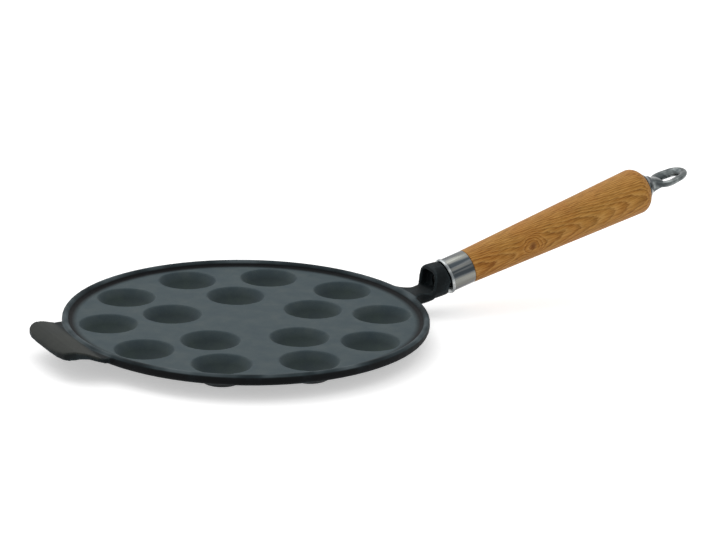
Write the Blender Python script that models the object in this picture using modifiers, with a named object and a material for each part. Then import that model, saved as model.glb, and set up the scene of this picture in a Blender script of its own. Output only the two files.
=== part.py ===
"""Poffertjes pan: a cast iron plate with round wells, and an oak handle that a tie rod holds on.

Units are metres. X runs along the handle, Y to its left and Z up. The origin is the centre of the
plate's flat top face.
"""
from math import acos, asin, cos, hypot, pi, radians, sin

import bmesh
import bpy
from mathutils import Matrix

# Fits between pieces
SEAT_GAP = 0.0003
THREAD_CLEARANCE = 0.0001
BORE_CLEARANCE = 0.0003
OVERRUN = 0.002
WELD_DISTANCE = 0.000001

# Wells
OUTER_WELLS = 10
INNER_WELLS = 5
WELL_MOUTH_RADIUS = 0.0202
WELL_DEPTH = 0.01075
WELL_WALL = 0.004
WELL_FOOT_RADIUS = 0.006
WELL_LIP = 0.0005
OUTER_LAND = 0.0176
INNER_LAND = 0.0197
EDGE_LAND = 0.0045

# Plate, rim and the drawn-in skirt below it
PLATE_THICKNESS = 0.0052
RIM_WIDTH = 0.0064
RIM_HEIGHT = 0.0036
SKIRT_WIDTH = 0.008
SKIRT_HEIGHT = 0.0036
RIM_CREST_SHARE = 0.656
RIM_SHARES = (
    (0, 0), (0.25, 0.18), (0.375, 0.58), (0.485, 0.87), (RIM_CREST_SHARE, 1), (0.845, 0.94), (1, 0.58),
)

# Thumb tab, opposite the handle
TAB_LENGTH = 0.0268
TAB_HALF_WIDTH = 0.041
TAB_LIFT = 0.0068
TAB_SIDE_SHARES = (
    (0.20, 1.0), (0.36, 0.98), (0.48, 0.93), (0.66, 0.875), (0.83, 0.79), (0.91, 0.715), (0.96, 0.54),
    (0.99, 0.25),
)
TAB_TOP_SHARES = (
    (-0.35, 0.31), (0.03, 0.30), (0.19, 0.50), (0.34, 0.735), (0.47, 0.88), (0.66, 1.0), (0.78, 0.93),
    (0.885, 0.765), (0.96, 0.60), (1.0, 0.44),
)
TAB_UNDER_SHARES = (
    (1.0, 0.20), (0.96, 0.07), (0.90, 0.06), (0.78, 0.09), (0.66, 0.15), (0.54, 0.27), (0.34, 0.22),
    (0.17, 0.015), (-0.03, -0.24), (-0.35, -0.30),
)

# Neck, from the rim to the flat face that the handle bears on
HANDLE_TILT = radians(15.86)
NECK_REACH = 0.0289
NECK_FACE_HEIGHT = 0.00995
NECK_END_RADIUS = 0.0121
NECK_CHAMFER = 0.0007
REBATE_LENGTH = 0.0024
REBATE_DEPTH = 0.0024
REBATE_TURN = radians(85)
HOOD_LENGTH = 0.0134
HOOD_HALF_WIDTH = 0.012
HOOD_UP = 0.0127
HOOD_DOWN = 0.0109
HOOD_CORNER = 0.007
HOOD_UNDER_CORNER = 0.0108
HOOD_LEAN = radians(7)
HOOD_WALL = 0.0028
POCKET_DEPTH = 0.006
POCKET_CORNER = 0.005
WEB_DROP = 0.0004
WEB_TOP_CORNER = 0.0008
WEB_ROUND_SHARE = 0.86
WEB_SHARES = (
    (0, 1.42, 0), (0.108, 1.18, 0.14), (0.20, 1.0, 0.30), (0.312, 0.85, 0.50), (0.446, 0.75, 0.76),
    (0.532, 0.71, 0.91), (0.608, 0.725, 1), (0.731, 0.82, 1), (0.866, 0.92, 1), (0.98, 0.94, 1),
    (1.1, 0.92, 1),
)

# Ferrule, a drawn collar with its front edge rolled and turned in
FERRULE_RADIUS = 0.0121
FERRULE_LENGTH = 0.0196
FERRULE_WALL = 0.0009
FERRULE_LIP = 0.0035
BEAD_LENGTH = 0.0024
BEAD_RISE = 0.0008
GROOVE_DEPTH = 0.0003

# Oak grip
GRIP_FRONT_RADIUS = 0.0121
GRIP_BACK_RADIUS = 0.0166
GRIP_ROUND_START = 0.1619
GRIP_ROUND_LENGTH = 0.0098
GRIP_ROUND_WIDTH = 0.0106
GRIP_SEAT_MARGIN = 0.0003

# Tie rod, M8
ROD_RADIUS = 0.004
ROD_CHAMFER = 0.0008

# Hanging eye
FLANGE_RADIUS = 0.0101
FLANGE_EDGE = 0.0007
FLANGE_HEIGHT = 0.0045
EYE_LENGTH = 0.0363
EYE_NECK_RADIUS = 0.0067
EYE_NECK_LENGTH = 0.0028
EYE_NECK_ROUND = 0.0012
EYE_WIDE_RADIUS = 0.0082
EYE_TIP_RADIUS = 0.007
EYE_BAR_WIDTH = 0.0076
EYE_BAR_THICKNESS = 0.0046
EYE_DISH = radians(25)
EYE_DROP = 0.0015
ROD_COVER = 0.0024

# Facets
PLATE_STEPS = 80
WELL_STEPS = 24
BOWL_RINGS = 4
DOME_RINGS = 3
SKIRT_STEPS = 3
CORNER_STEPS = 4
HOOD_STEPS = 4
REBATE_STEPS = 12
ROUND_STEPS = 40
ROD_STEPS = 24
END_ARC_STEPS = 6
BEAD_STEPS = 4
LOOP_STEPS = 28
BAR_STEPS = 12
SMOOTH_BELOW = radians(35)

# Worked out from the sizes above
OUTER_RING_RADIUS = (WELL_MOUTH_RADIUS + OUTER_LAND / 2) / sin(pi / OUTER_WELLS)
INNER_RING_RADIUS = (WELL_MOUTH_RADIUS + INNER_LAND / 2) / sin(pi / INNER_WELLS)
PLATE_RADIUS = OUTER_RING_RADIUS + WELL_MOUTH_RADIUS + EDGE_LAND
PAN_RADIUS = PLATE_RADIUS + RIM_WIDTH
CREST_RADIUS = PLATE_RADIUS + RIM_WIDTH * RIM_CREST_SHARE
BOWL_RADIUS = (WELL_MOUTH_RADIUS ** 2 + WELL_DEPTH ** 2) / (2 * WELL_DEPTH)
BOWL_CENTRE_HEIGHT = BOWL_RADIUS - WELL_DEPTH
DOME_RADIUS = BOWL_RADIUS + WELL_WALL
NECK_FACE_X = PAN_RADIUS + NECK_REACH
HOOD_AXIS_LENGTH = HOOD_LENGTH / cos(HANDLE_TILT)
BOSS_LENGTH = (HOOD_LENGTH - POCKET_DEPTH) / cos(HANDLE_TILT)
WEB_TOP = RIM_HEIGHT - WEB_DROP
ROD_BORE_RADIUS = ROD_RADIUS + BORE_CLEARANCE
GRIP_SEAT_RADIUS = FLANGE_RADIUS + GRIP_SEAT_MARGIN
GRIP_ROUND_CENTRE = GRIP_BACK_RADIUS - GRIP_ROUND_WIDTH
SEAT_ANGLE = acos((GRIP_SEAT_RADIUS - GRIP_ROUND_CENTRE) / GRIP_ROUND_WIDTH)
GRIP_END = GRIP_ROUND_START + GRIP_ROUND_LENGTH * sin(SEAT_ANGLE)
FLANGE_BASE = GRIP_END + SEAT_GAP
CONE_TOP = FLANGE_BASE + FLANGE_HEIGHT
EYE_BAR_REACH = hypot(EYE_BAR_WIDTH * cos(EYE_DISH), EYE_BAR_THICKNESS * sin(EYE_DISH)) / 2
EYE_WIDE_CENTRE = CONE_TOP + EYE_NECK_LENGTH + EYE_BAR_REACH + EYE_WIDE_RADIUS
EYE_TIP_CENTRE = FLANGE_BASE + EYE_LENGTH - EYE_BAR_REACH - EYE_TIP_RADIUS
EYE_BORE_END = CONE_TOP + ROD_COVER


def mix(start, end, share):
    """The value that lies a share of the way from start to end."""
    return start + (end - start) * share


def make_collection(name):
    """A new collection in the scene."""
    collection = bpy.data.collections.new(name)
    bpy.context.scene.collection.children.link(collection)
    return collection


def add_object(name, data, collection):
    """A new object in a collection."""
    obj = bpy.data.objects.new(name, data)
    collection.objects.link(obj)
    return obj


def evaluated_mesh(obj):
    """The mesh that an object's modifiers or curve settings make."""
    bpy.context.view_layer.update()
    graph = bpy.context.evaluated_depsgraph_get()
    return bpy.data.meshes.new_from_object(obj.evaluated_get(graph))


def settle_modifiers(obj):
    """Turns an object's modifiers into its own mesh, smooth but for its sharp edges."""
    mesh = evaluated_mesh(obj)
    mesh.name = obj.name
    obj.modifiers.clear()
    obj.data = mesh
    mesh.shade_smooth()
    mesh.set_sharp_from_angle(angle=SMOOTH_BELOW)


def turned(name, outline, steps, collection, ring=False):
    """A shape turned about its own Z axis from points of radius and height, the outer side going down."""
    points = [(radius, 0, height) for radius, height in outline]
    edges = [(index, index + 1) for index in range(len(points) - 1)]
    if ring:
        edges.append((len(points) - 1, 0))
    mesh = bpy.data.meshes.new(name)
    mesh.from_pydata(points, edges, [])
    obj = add_object(name, mesh, collection)
    screw = obj.modifiers.new("Turn", "SCREW")
    screw.angle = 2 * pi
    screw.steps = steps
    screw.render_steps = steps
    screw.use_merge_vertices = True
    screw.merge_threshold = WELD_DISTANCE
    return obj


def closed_curve(name, outline):
    """A closed curve through points in its own XY plane."""
    curve = bpy.data.curves.new(name, "CURVE")
    curve.dimensions = "2D"
    spline = curve.splines.new("POLY")
    spline.points.add(len(outline) - 1)
    spline.use_cyclic_u = True
    for point, (x, y) in zip(spline.points, outline):
        point.co = (x, y, 0, 1)
    return curve


def flat_stock(name, outline, half_thickness, collection):
    """A closed outline in its own XY plane, thickened evenly to both sides, as a mesh."""
    curve = closed_curve(name, outline)
    curve.fill_mode = "BOTH"
    curve.extrude = half_thickness
    return curve_to_mesh(name, curve, collection)


def curve_to_mesh(name, curve, collection):
    """A mesh object made from a curve, with its caps welded on."""
    draft = add_object(name, curve, collection)
    mesh = evaluated_mesh(draft)
    bpy.data.objects.remove(draft)
    bm = bmesh.new()
    bm.from_mesh(mesh)
    bmesh.ops.remove_doubles(bm, verts=bm.verts, dist=WELD_DISTANCE)
    bmesh.ops.recalc_face_normals(bm, faces=bm.faces)
    bm.to_mesh(mesh)
    bm.free()
    return add_object(name, mesh, collection)


def loft(name, rings, collection):
    """A solid through rings of points, with as many points in each, closed at both ends."""
    bm = bmesh.new()
    loops = [[bm.verts.new(point) for point in ring] for ring in rings]
    for near, far in zip(loops, loops[1:]):
        for index in range(len(near)):
            after = (index + 1) % len(near)
            bm.faces.new((near[index], near[after], far[after], far[index]))
    bm.faces.new(loops[0])
    bm.faces.new(loops[-1])
    bmesh.ops.remove_doubles(bm, verts=bm.verts, dist=WELD_DISTANCE)
    bmesh.ops.recalc_face_normals(bm, faces=bm.faces)
    bmesh.ops.triangulate(bm, faces=bm.faces)
    mesh = bpy.data.meshes.new(name)
    bm.to_mesh(mesh)
    bm.free()
    return add_object(name, mesh, collection)


def rounded_section(half_width, top, bottom, top_corner, under_corner):
    """Points across and up, round a box section; each corner is a quarter ellipse so wide and so high."""
    top_width, top_height = top_corner
    under_width, under_height = under_corner
    corners = (
        (half_width - top_width, top - top_height, top_corner, 0),
        (top_width - half_width, top - top_height, top_corner, pi / 2),
        (under_width - half_width, bottom + under_height, under_corner, pi),
        (half_width - under_width, bottom + under_height, under_corner, 3 * pi / 2),
    )
    points = []
    for across, up, (width, height), start in corners:
        for step in range(CORNER_STEPS + 1):
            angle = start + pi / 2 * step / CORNER_STEPS
            points.append((across + width * cos(angle), up + height * sin(angle)))
    return points


def join(obj, other, operation):
    """Adds, takes away or keeps the overlap with another shape, which becomes a guide."""
    boolean = obj.modifiers.new(other.name, "BOOLEAN")
    boolean.object = other
    boolean.operation = operation
    boolean.solver = "EXACT"
    other.hide_render = True
    other.display_type = "WIRE"


def well_places():
    """Where each well's centre lies, ring by ring, as a move from the pan's centre."""
    places = []
    for count, radius, start in (
        (OUTER_WELLS, OUTER_RING_RADIUS, pi / OUTER_WELLS),
        (INNER_WELLS, INNER_RING_RADIUS, 0),
    ):
        for index in range(count):
            angle = start + 2 * pi * index / count
            places.append(Matrix.Rotation(angle, 4, "Z") @ Matrix.Translation((radius, 0, 0)))
    return places


def repeated(name, pattern, places, collection):
    """One mesh object with a copy of a pattern at each place; the pattern is used up."""
    bm = bmesh.new()
    mesh = evaluated_mesh(pattern)
    bpy.data.objects.remove(pattern)
    for place in places:
        copy = mesh.copy()
        copy.transform(place)
        bm.from_mesh(copy)
        bpy.data.meshes.remove(copy)
    bm.to_mesh(mesh)
    bm.free()
    return add_object(name, mesh, collection)


def plate_outline():
    """Section of the plate, rim and skirt, from the centre of the top to the centre of the underside."""
    rim = [(PLATE_RADIUS + RIM_WIDTH * across, RIM_HEIGHT * up) for across, up in RIM_SHARES]
    skirt = []
    for step in range(SKIRT_STEPS + 1):
        angle = pi / 2 * step / SKIRT_STEPS
        radius = PAN_RADIUS - SKIRT_WIDTH * (1 - cos(angle))
        skirt.append((radius, SKIRT_HEIGHT * (1 - sin(angle)) - PLATE_THICKNESS))
    return [(0, 0), *rim, *skirt, (0, -PLATE_THICKNESS)]


def dome_outline():
    """Section of the shell that stands out below a well, down to its flat foot."""
    start = acos((BOWL_CENTRE_HEIGHT + PLATE_THICKNESS / 2) / DOME_RADIUS)
    end = asin(WELL_FOOT_RADIUS / DOME_RADIUS)
    arc = []
    for step in range(DOME_RINGS + 1):
        angle = mix(start, end, step / DOME_RINGS)
        arc.append((DOME_RADIUS * sin(angle), BOWL_CENTRE_HEIGHT - DOME_RADIUS * cos(angle)))
    return [(0, -PLATE_THICKNESS / 2), *arc, (0, arc[-1][1])]


def bowl_outline():
    """Section of what a well takes out of the plate, with a chamfered lip carried on above its mouth."""
    start = acos((BOWL_CENTRE_HEIGHT + WELL_LIP) / BOWL_RADIUS)
    arc = []
    for step in range(BOWL_RINGS):
        angle = start * (1 - step / BOWL_RINGS)
        arc.append((BOWL_RADIUS * sin(angle), BOWL_CENTRE_HEIGHT - BOWL_RADIUS * cos(angle)))
    above = (arc[0][0] + WELL_LIP + OVERRUN, OVERRUN)
    return [(0, OVERRUN), above, *arc, (0, -WELL_DEPTH)]


def tab_solid(collection):
    """The thumb tab: a plan outline and a side profile, and what lies within both."""
    root = asin(TAB_HALF_WIDTH / CREST_RADIUS)
    root_x = CREST_RADIUS * cos(root)
    tip_x = CREST_RADIUS + TAB_LENGTH
    side = [(-mix(root_x, tip_x, along), TAB_HALF_WIDTH * across) for along, across in TAB_SIDE_SHARES]
    inner = []
    for step in range(2 * CORNER_STEPS + 1):
        angle = pi + root * (1 - step / CORNER_STEPS)
        inner.append((CREST_RADIUS * cos(angle), CREST_RADIUS * sin(angle)))
    plan = [*inner, *side, *[(x, -y) for x, y in reversed(side)]]
    block = flat_stock("tab_plan", plan, TAB_LIFT + OVERRUN, collection)
    shares = TAB_TOP_SHARES + TAB_UNDER_SHARES
    profile = [(-CREST_RADIUS - TAB_LENGTH * along, TAB_LIFT * up) for along, up in shares]
    slab = flat_stock("tab_profile", profile, TAB_HALF_WIDTH + OVERRUN, collection)
    slab.rotation_euler = (pi / 2, 0, 0)
    join(block, slab, "INTERSECT")
    return block


def axis_height(x):
    """Height of the handle's axis over a point of the X axis."""
    return NECK_FACE_HEIGHT + (x - NECK_FACE_X) * sin(HANDLE_TILT) / cos(HANDLE_TILT)


def web_solid(collection):
    """The narrow web from the rim to the hood, flat on top and rounded below."""
    hood_x = NECK_FACE_X - HOOD_LENGTH
    rim_under = SKIRT_HEIGHT / 2 - PLATE_THICKNESS
    rings = []
    for along, width, down in WEB_SHARES:
        x = mix(CREST_RADIUS, hood_x, along)
        under = mix(rim_under, axis_height(x) - HOOD_DOWN / cos(HANDLE_TILT), down)
        half_width = HOOD_HALF_WIDTH * width
        under_corner = (half_width * WEB_ROUND_SHARE, (WEB_TOP - under) * WEB_ROUND_SHARE)
        section = rounded_section(half_width, WEB_TOP, under, (WEB_TOP_CORNER, WEB_TOP_CORNER), under_corner)
        rings.append([(x, across, up) for across, up in section])
    return loft("web", rings, collection)


def hood_ring(along, lean, half_width, up, down, corner, under_corner):
    """A section of the hood across the handle's axis, tipped from upright by lean."""
    x = NECK_FACE_X + along * cos(HANDLE_TILT)
    z = NECK_FACE_HEIGHT + along * sin(HANDLE_TILT)
    section = rounded_section(half_width, up, -down, (corner, corner), (under_corner, under_corner))
    return [(x + rise * sin(lean), across, z + rise * cos(lean)) for across, rise in section]


def hood_solid(collection):
    """The hood over the pocket, from its leaning front to the round face that carries the handle."""
    rings = []
    for step in range(HOOD_STEPS + 1):
        share = step / HOOD_STEPS
        rings.append(hood_ring(
            mix(-HOOD_AXIS_LENGTH, -NECK_CHAMFER, share),
            mix(HOOD_LEAN, -HANDLE_TILT, share),
            mix(HOOD_HALF_WIDTH, NECK_END_RADIUS, share),
            mix(HOOD_UP, NECK_END_RADIUS, share),
            mix(HOOD_DOWN, NECK_END_RADIUS, share),
            mix(HOOD_CORNER, NECK_END_RADIUS, share),
            mix(HOOD_UNDER_CORNER, NECK_END_RADIUS, share),
        ))
    rings.append(hood_ring(0, -HANDLE_TILT, *[NECK_END_RADIUS - NECK_CHAMFER] * 5))
    return loft("hood", rings, collection)


def pocket_cutter(collection):
    """The arched pocket that opens towards the plate, with its floor just above the web."""
    hood_x = NECK_FACE_X - HOOD_LENGTH
    half_width = HOOD_HALF_WIDTH - HOOD_WALL
    top = axis_height(hood_x) + HOOD_UP - HOOD_WALL
    arch = (POCKET_CORNER, POCKET_CORNER)
    floor_corner = (WEB_TOP_CORNER, WEB_TOP_CORNER)
    section = rounded_section(half_width, top, WEB_TOP + WEB_DROP, arch, floor_corner)
    span = (hood_x - 2 * OVERRUN, hood_x + POCKET_DEPTH)
    return loft("pocket", [[(x, across, up) for across, up in section] for x in span], collection)


def rod_hole_cutter(axis, collection):
    """The hole for the tie rod, along the handle's axis from the pocket to the face."""
    radius = (ROD_RADIUS + THREAD_CLEARANCE) / cos(pi / ROD_STEPS)
    bottom = -BOSS_LENGTH - OVERRUN
    outline = [(0, OVERRUN), (radius, OVERRUN), (radius, bottom), (0, bottom)]
    cutter = turned("rod_hole", outline, ROD_STEPS, collection)
    cutter.parent = axis
    return cutter


def rebate_cutter(axis, collection):
    """The step round the lower half of the neck's end, which leaves a dark slot before the collar."""
    outer = NECK_END_RADIUS + OVERRUN
    inner = NECK_END_RADIUS - REBATE_DEPTH
    outline = []
    for radius, start in ((outer, -REBATE_TURN), (inner, REBATE_TURN)):
        for step in range(REBATE_STEPS + 1):
            angle = start * (1 - 2 * step / REBATE_STEPS)
            outline.append((radius * cos(angle), radius * sin(angle)))
    cutter = flat_stock("neck_rebate", outline, (REBATE_LENGTH + OVERRUN) / 2, collection)
    cutter.parent = axis
    cutter.location = (0, 0, (OVERRUN - REBATE_LENGTH) / 2)
    return cutter


def make_pan(axis, pieces, cutters):
    """The one casting: plate, rim, wells, tab and neck."""
    pan = turned("pan_casting", plate_outline(), PLATE_STEPS, pieces)
    places = well_places()
    domes = repeated("domes", turned("dome", dome_outline(), WELL_STEPS, cutters), places, cutters)
    bowls = repeated("bowls", turned("bowl", bowl_outline(), WELL_STEPS, cutters), places, cutters)
    for added in (domes, tab_solid(cutters), web_solid(cutters), hood_solid(cutters)):
        join(pan, added, "UNION")
    ends = (rod_hole_cutter(axis, cutters), rebate_cutter(axis, cutters))
    for taken in (bowls, pocket_cutter(cutters), *ends):
        join(pan, taken, "DIFFERENCE")
    settle_modifiers(pan)
    return pan


def make_ferrule(pieces):
    """The steel collar: a rolled bead in front, a groove behind it, and a lip turned in over the oak."""
    inside = FERRULE_RADIUS - FERRULE_WALL
    lip = NECK_END_RADIUS - FERRULE_LIP
    bead = []
    for step in range(BEAD_STEPS + 1):
        angle = pi * step / BEAD_STEPS
        bead.append((FERRULE_RADIUS + BEAD_RISE * sin(angle), SEAT_GAP + BEAD_LENGTH * (1 + cos(angle)) / 2))
    outline = [
        (inside, FERRULE_LENGTH),
        (FERRULE_RADIUS, FERRULE_LENGTH),
        (FERRULE_RADIUS, SEAT_GAP + BEAD_LENGTH + 2 * GROOVE_DEPTH),
        (FERRULE_RADIUS - GROOVE_DEPTH, SEAT_GAP + BEAD_LENGTH + GROOVE_DEPTH),
        *bead,
        (lip, SEAT_GAP),
        (lip, SEAT_GAP + FERRULE_WALL),
        (inside, SEAT_GAP + FERRULE_WALL),
    ]
    return turned("ferrule", outline, ROUND_STEPS, pieces, ring=True)


def make_grip(pieces):
    """The oak grip: its tenon in the ferrule, an even taper, and a rounded end with a flat seat."""
    tenon = FERRULE_RADIUS - FERRULE_WALL - SEAT_GAP
    shoulder = FERRULE_LENGTH + SEAT_GAP
    front = 2 * SEAT_GAP + FERRULE_WALL
    rounding = []
    for step in range(END_ARC_STEPS + 1):
        angle = SEAT_ANGLE * (1 - step / END_ARC_STEPS)
        radius = GRIP_ROUND_CENTRE + GRIP_ROUND_WIDTH * cos(angle)
        rounding.append((radius, GRIP_ROUND_START + GRIP_ROUND_LENGTH * sin(angle)))
    outline = [
        (ROD_BORE_RADIUS, GRIP_END),
        *rounding,
        (GRIP_FRONT_RADIUS, shoulder),
        (tenon, shoulder),
        (tenon, front),
        (ROD_BORE_RADIUS, front),
    ]
    return turned("handle_grip", outline, ROUND_STEPS, pieces, ring=True)


def make_rod(pieces):
    """The tie rod, from the neck's hole through the grip into the eye."""
    top = EYE_BORE_END - SEAT_GAP
    bottom = SEAT_GAP - BOSS_LENGTH
    tip = ROD_RADIUS - ROD_CHAMFER
    outline = [
        (0, top), (tip, top), (ROD_RADIUS, top - ROD_CHAMFER),
        (ROD_RADIUS, bottom + ROD_CHAMFER), (tip, bottom), (0, bottom),
    ]
    return turned("tie_rod", outline, ROD_STEPS, pieces)


def loop_path():
    """The middle of the eye's bar, along and across: a wide arc and a tip arc, joined by straight sides."""
    turn = acos((EYE_WIDE_RADIUS - EYE_TIP_RADIUS) / (EYE_TIP_CENTRE - EYE_WIDE_CENTRE))
    half = LOOP_STEPS // 2
    points = []
    for centre, radius, start, end in (
        (EYE_TIP_CENTRE, EYE_TIP_RADIUS, -turn, turn),
        (EYE_WIDE_CENTRE, EYE_WIDE_RADIUS, turn, 2 * pi - turn),
    ):
        for step in range(half):
            angle = mix(start, end, step / (half - 1))
            points.append((centre + radius * cos(angle), radius * sin(angle)))
    return points


def bar_section():
    """The section of the eye's bar: a flat oval, tipped so that the ring is dished."""
    points = []
    for step in range(BAR_STEPS):
        angle = 2 * pi * step / BAR_STEPS
        across = EYE_BAR_WIDTH / 2 * cos(angle)
        up = EYE_BAR_THICKNESS / 2 * sin(angle)
        points.append((
            across * cos(EYE_DISH) + up * sin(EYE_DISH),
            up * cos(EYE_DISH) - across * sin(EYE_DISH),
        ))
    return points


def make_loop(collection):
    """The eye's ring: its bar swept along the path, laid level across the handle's axis."""
    section = add_object("bar_section", closed_curve("bar_section", bar_section()), collection)
    curve = closed_curve("eye_loop", loop_path())
    curve.fill_mode = "NONE"
    curve.bevel_mode = "OBJECT"
    curve.bevel_object = section
    ring = curve_to_mesh("eye_loop", curve, collection)
    bpy.data.objects.remove(section)
    ring.rotation_euler = (0, -pi / 2, 0)
    ring.location = (EYE_DROP, 0, 0)
    return ring


def make_eye(pieces, cutters):
    """The hanging eye: a cone that bears on the oak, a short neck and a dished ring."""
    neck_top = EYE_WIDE_CENTRE - EYE_WIDE_RADIUS + EYE_BAR_REACH / 2
    outline = [
        (0, neck_top),
        (EYE_NECK_RADIUS - EYE_NECK_ROUND, neck_top),
        (EYE_NECK_RADIUS, neck_top - EYE_NECK_ROUND),
        (EYE_NECK_RADIUS, CONE_TOP),
        (FLANGE_RADIUS, FLANGE_BASE + FLANGE_EDGE),
        (FLANGE_RADIUS, FLANGE_BASE),
        (0, FLANGE_BASE),
    ]
    eye = turned("hanging_eye", outline, ROUND_STEPS, pieces)
    join(eye, make_loop(cutters), "UNION")
    below = FLANGE_BASE - OVERRUN
    bore = [(0, EYE_BORE_END), (ROD_BORE_RADIUS, EYE_BORE_END), (ROD_BORE_RADIUS, below), (0, below)]
    join(eye, turned("eye_bore", bore, ROD_STEPS, cutters), "DIFFERENCE")
    return eye


def give_material(obj, colour, roughness, metallic):
    """A plain surface of one colour on an object."""
    material = bpy.data.materials.new(obj.name)
    material.use_nodes = True
    shader = material.node_tree.nodes["Principled BSDF"]
    shader.inputs["Base Color"].default_value = (*colour, 1)
    shader.inputs["Roughness"].default_value = roughness
    shader.inputs["Metallic"].default_value = metallic
    obj.data.materials.clear()
    obj.data.materials.append(material)


def main():
    for old in list(bpy.data.objects):
        bpy.data.objects.remove(old)
    pieces = make_collection("poffertjes_pan")
    cutters = make_collection("cutters")
    axis = add_object("handle_axis", None, pieces)
    axis.location = (NECK_FACE_X, 0, NECK_FACE_HEIGHT)
    axis.rotation_euler = (0, pi / 2 - HANDLE_TILT, 0)
    pan = make_pan(axis, pieces, cutters)
    give_material(pan, (0.09, 0.11, 0.115), 0.55, 0.3)
    finishes = (
        (make_ferrule(pieces), (0.62, 0.61, 0.59), 0.25, 1),
        (make_grip(pieces), (0.58, 0.33, 0.11), 0.5, 0),
        (make_rod(pieces), (0.5, 0.5, 0.5), 0.35, 1),
        (make_eye(pieces, cutters), (0.75, 0.75, 0.75), 0.12, 1),
    )
    for piece, colour, roughness, metallic in finishes:
        settle_modifiers(piece)
        piece.parent = axis
        give_material(piece, colour, roughness, metallic)


main()
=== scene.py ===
"""Poffertjes pan: the looks of its iron casting, oak grip, steel collar, tie rod and chromed eye.

Metres, in the solids' frame: X along the handle, Y to its left, Z up, and the origin at the centre of the
plate's flat top face.
"""
from math import acos, atan2, cos, floor, hypot, pi, radians, sin

import bmesh
import bpy
from mathutils import Matrix, Vector


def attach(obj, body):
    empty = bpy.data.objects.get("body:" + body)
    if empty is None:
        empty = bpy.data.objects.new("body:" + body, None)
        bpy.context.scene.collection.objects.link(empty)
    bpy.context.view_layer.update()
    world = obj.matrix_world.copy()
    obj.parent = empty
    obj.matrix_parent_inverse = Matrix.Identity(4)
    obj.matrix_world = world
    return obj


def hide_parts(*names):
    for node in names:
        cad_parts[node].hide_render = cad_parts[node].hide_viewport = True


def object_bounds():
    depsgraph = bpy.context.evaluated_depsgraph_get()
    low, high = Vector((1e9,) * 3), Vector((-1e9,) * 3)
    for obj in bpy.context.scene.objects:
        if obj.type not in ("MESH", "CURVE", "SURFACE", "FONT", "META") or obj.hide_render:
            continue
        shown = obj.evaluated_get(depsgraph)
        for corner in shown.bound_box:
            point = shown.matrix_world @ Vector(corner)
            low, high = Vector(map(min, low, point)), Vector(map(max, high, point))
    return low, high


MM = 0.001

# Wells, as cast
OUTER_WELLS = 10
INNER_WELLS = 5
OUTER_RING_RADIUS = 93.846 * MM
INNER_RING_RADIUS = 51.124 * MM
BOWL_RADIUS = 24.38 * MM
BOWL_CENTRE_HEIGHT = 13.604 * MM
BOWL_LIP = 0.7 * MM
BOWL_FLARE_SHARE = 1.6
BOWL_POLE_ANGLE = 0.02

# Plate and neck
PLATE_FACETS = 80
ROUND_FROM = 110 * MM
NECK_FROM = 127 * MM
NECK_FULL = 133 * MM
WELD_GAP = 0.001 * MM
FOOT_HEIGHT = -14.108 * MM
FLOOR_GAP = 0.05 * MM

# Where the iron's colour changes, into painted shade and sheen too: distances from the plate's centre,
# heights, and the tab's root on X
CREASE_START = 114.5 * MM
CREASE_END = 118.5 * MM
CREASE_LIMIT = 121.5 * MM
RIM_OUTER = 125 * MM
RIM_FADE = 1 * MM
SKIRT_FULL = RIM_OUTER + 0.5 * MM
SKIRT_LIMIT = RIM_OUTER + 1.5 * MM
CREST_START = 1.3 * MM
CREST_END = 2.3 * MM
WELL_SHADE_START = -0.3 * MM
WELL_SHADE_END = -5.5 * MM
TAB_ROOT = -124 * MM
TAB_FADE = 3 * MM

# The handle's axis starts at the neck's flat face
NECK_FACE = Vector((153.846 * MM, 0, 9.95 * MM))
HANDLE_TILT = radians(15.86)
SEAT_GAP = 0.3 * MM

# Collar
COLLAR_RADIUS = 12.1 * MM
COLLAR_WALL = 0.9 * MM
COLLAR_LENGTH = 19.6 * MM
COLLAR_LIP = 8.6 * MM
COLLAR_BACK_ROUNDING = 0.25 * MM
COLLAR_ROUNDING = 0.2 * MM
BEAD_LENGTH = 2.4 * MM
BEAD_RISE = 0.8 * MM
GROOVE = 0.3 * MM

# Grip
GRIP_FRONT_RADIUS = 12.1 * MM
GRIP_BACK_RADIUS = 16.6 * MM
GRIP_BORE = 4.3 * MM
GRIP_BEVEL = 0.3 * MM
GRIP_ROUND_START = 161.9 * MM
GRIP_ROUND_LENGTH = 9.8 * MM
GRIP_ROUND_WIDTH = 10.6 * MM
GRIP_SEAT_RADIUS = 10.4 * MM

# Tie rod, M8
ROD_RADIUS = 4 * MM
ROD_START = -7.3 * MM
ROD_END = 177.7 * MM
ROD_BEVEL = 0.8 * MM
SHANK_RELIEF = 0.35 * MM
THREAD_LENGTH = 24 * MM
THREAD_PITCH = 1.25 * MM
THREAD_DEPTH = 0.75 * MM
THREAD_SLOPE_SHARE = 2.6

# Eye
FLANGE_BASE = 171.116 * MM
FLANGE_RADIUS = 10.1 * MM
FLANGE_EDGE = 0.7 * MM
FLANGE_HEIGHT = 4.5 * MM
EYE_LENGTH = 36.3 * MM
EYE_NECK_RADIUS = 6.7 * MM
EYE_NECK_LENGTH = 2.8 * MM
EYE_WIDE_RADIUS = 8.2 * MM
EYE_TIP_RADIUS = 7 * MM
EYE_BAR_WIDTH = 7.6 * MM
EYE_BAR_THICKNESS = 4.6 * MM
EYE_DISH = radians(25)
EYE_DROP = 1.5 * MM
HOLE_MIDDLE = (0, 0, 191.5 * MM)
HOLE_REACH = (20 * MM, 4.6 * MM, 8 * MM)

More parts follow.
